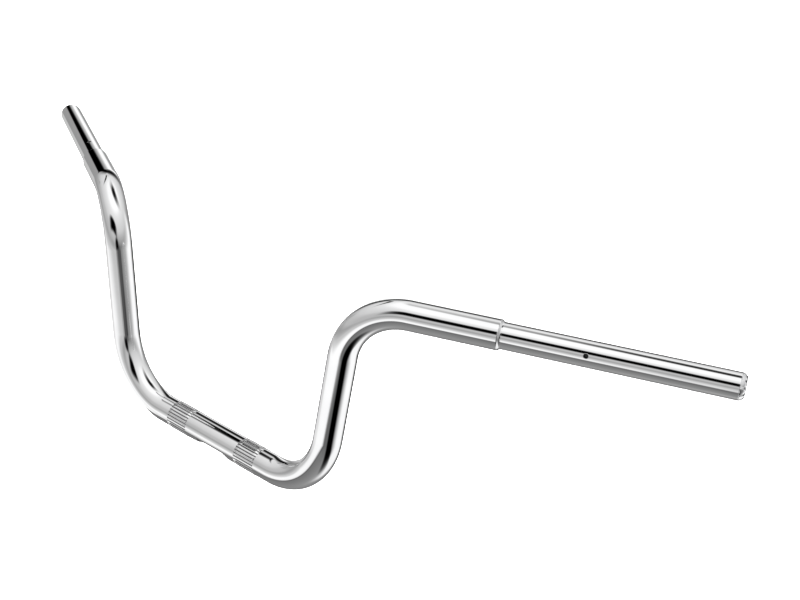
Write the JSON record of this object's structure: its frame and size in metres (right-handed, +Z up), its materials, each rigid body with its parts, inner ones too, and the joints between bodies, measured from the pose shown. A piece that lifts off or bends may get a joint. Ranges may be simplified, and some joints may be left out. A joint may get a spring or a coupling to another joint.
{
  "type": "motorcycle handlebar",
  "caption": "Chromed bent-tube motorcycle handlebar with upright risers, swept-back control ends, knurled clamp seats and a wiring slot.",
  "frame": {"origin": "middle of the straight clamp section, on the tube axis", "axes": "+X towards the rider's left grip, +Y back towards the rider, +Z up the risers"},
  "size_m": [0.8896, 0.1647, 0.2096],
  "materials": {
    "chrome_tube": "mirror-polished chrome plate",
    "chrome_weld": "dressed weld under chrome plate",
    "chrome_bush": "chrome-plated bush"
  },
  "bodies": {
    "root": {"main_tube": "chrome_tube", "control_tube_left": "chrome_tube", "control_tube_right": "chrome_tube", "shoulder_weld_left": "chrome_weld", "shoulder_weld_right": "chrome_weld", "end_bush_left": "chrome_bush", "end_bush_right": "chrome_bush"}
  },
  "joints": []
}
